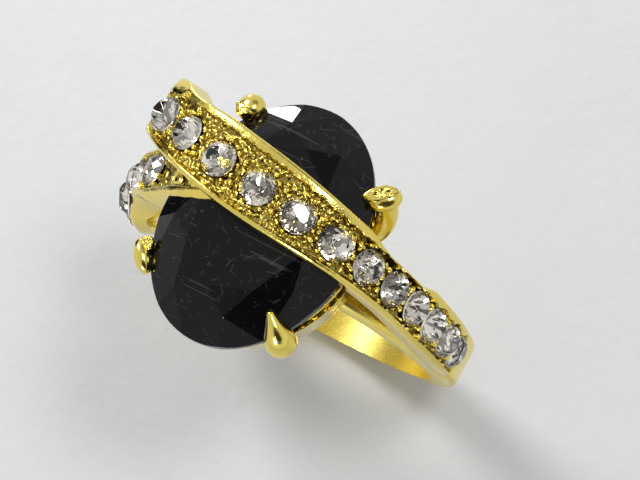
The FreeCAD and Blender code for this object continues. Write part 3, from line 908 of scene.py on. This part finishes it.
view = {  # angles in degrees; the camera's place in its own axes, in millimetres
    "lens": 225.36, "turn": 63.958, "tilt": 16.815, "roll": -35.941, "stand": (0.81, 2.248, 219.834)}
axes = Matrix.Identity(3)
for part, axis in (("turn", "Z"), ("tilt", "X"), ("roll", "Z")):
    axes = axes @ Matrix.Rotation(math.radians(view[part]), 3, axis)
cameraData = bpy.data.cameras.new("camera")
cameraData.lens = view["lens"]
cameraData.sensor_width = 36
cameraData.clip_start = 0.01
camera = bpy.data.objects.new("camera", cameraData)
bpy.context.collection.objects.link(camera)
camera.matrix_world = Matrix.Translation(axes @ Vector(view["stand"]) * mm) @ axes.to_4x4()
bpy.context.scene.camera = camera
target = Vector((0, 0, girdleHeight * mm))


def addLamp(name, toward, distance, size, power):  # a soft round lamp in one direction from the stone
    lamp = bpy.data.lights.new(name, "AREA")
    lamp.shape = "DISK"
    lamp.size = size
    lamp.energy = power
    holder = bpy.data.objects.new(name, lamp)
    bpy.context.collection.objects.link(holder)
    direction = Vector(toward).normalized()
    holder.location = target + direction * distance
    holder.rotation_euler = direction.to_track_quat("Z", "Y").to_euler()
    return holder


lamps = {  # direction from the stone, distance and width in metres, power
    "side_lamp": ((-0.72, 0.35, 0.60), 0.30, 0.11, 0.55),
    "top_lamp": ((0.33, 0.25, 0.91), 0.35, 0.08, 0.36),
    "front_lamp": ((0.2, -0.85, 0.48), 0.30, 0.08, 0.4),
    "low_card": ((-0.658, 0.731, -0.181), 0.0552, 0.0062, 0.0026)}
holders = {name: addLamp(name, *settings) for name, settings in lamps.items()}
holders["front_lamp"].visible_diffuse = False

flag = {"size": 0.012, "place": (-0.023, 0.003, 0.006)}
bpy.ops.mesh.primitive_plane_add(size=flag["size"], location=(0, 0, 0))
darkFlag = bpy.context.object
darkFlag.name = "dark_flag"
writePoints(darkFlag, readPoints(darkFlag)[:, [2, 0, 1]] + flag["place"])
flagMake = Finish(bpy.data.materials.new("flag_black"))
darkFlag.data.materials.append(flagMake.finish(flagMake.node("BsdfPrincipled", None, {
    "Base Color": (0.012, 0.011, 0.01, 1), "Roughness": 1.0, "Specular IOR Level": 0.0})))
darkFlag.visible_camera = False
darkFlag.visible_diffuse = False
darkFlag.visible_shadow = False

world = bpy.data.worlds.new("studio")
bpy.context.scene.world = world
sky = Finish(world)
way = sky.node("TexCoord", out="Generated")


def facing(toward, low, high):  # 0 to 1 as a direction comes round to one side of the room
    length = math.sqrt(sum(part * part for part in toward))
    unit = tuple(part / length for part in toward)
    return sky.node("VectorMath", {"operation": "DOT_PRODUCT"}, {0: way, 1: unit}, "Value").ease(low, high)


room = {"base": (0.66, 0.67, 0.69, 1), "horizon": (0.78, 0.78, 0.79, 1), "dark": (0.035, 0.03, 0.025, 1)}
level = sky.node("VectorMath", {"operation": "DOT_PRODUCT"}, {0: way, 1: (0, 0, 1)}, "Value")
walls = sky.mix((level * level).ease(0.02, 0.45), room["horizon"], room["base"])
walls = sky.mix(facing((0.5, -0.4, 0.75), 0.80, 0.93), walls, room["dark"])
walls = sky.mix(facing((0.1, 0.75, 0.62), 0.90, 0.97) * 0.6, walls, room["dark"])
walls = sky.mix(facing((-0.94, 0.27, -0.1), 0.94, 0.985), walls, room["dark"])
backing = sky.node("Background", None, {"Color": walls, "Strength": 1.0})
pale = sky.node("Background", None, {"Color": (0.78, 0.79, 0.80, 1), "Strength": 1.0})
cameraRay = sky.node("LightPath", out="Is Camera Ray")
sky.node("OutputWorld", None, {"Surface": sky.node("MixShader", None, {0: cameraRay, 1: backing, 2: pale})})

bpy.context.scene.view_settings.view_transform = "Standard"

print("scene finished")
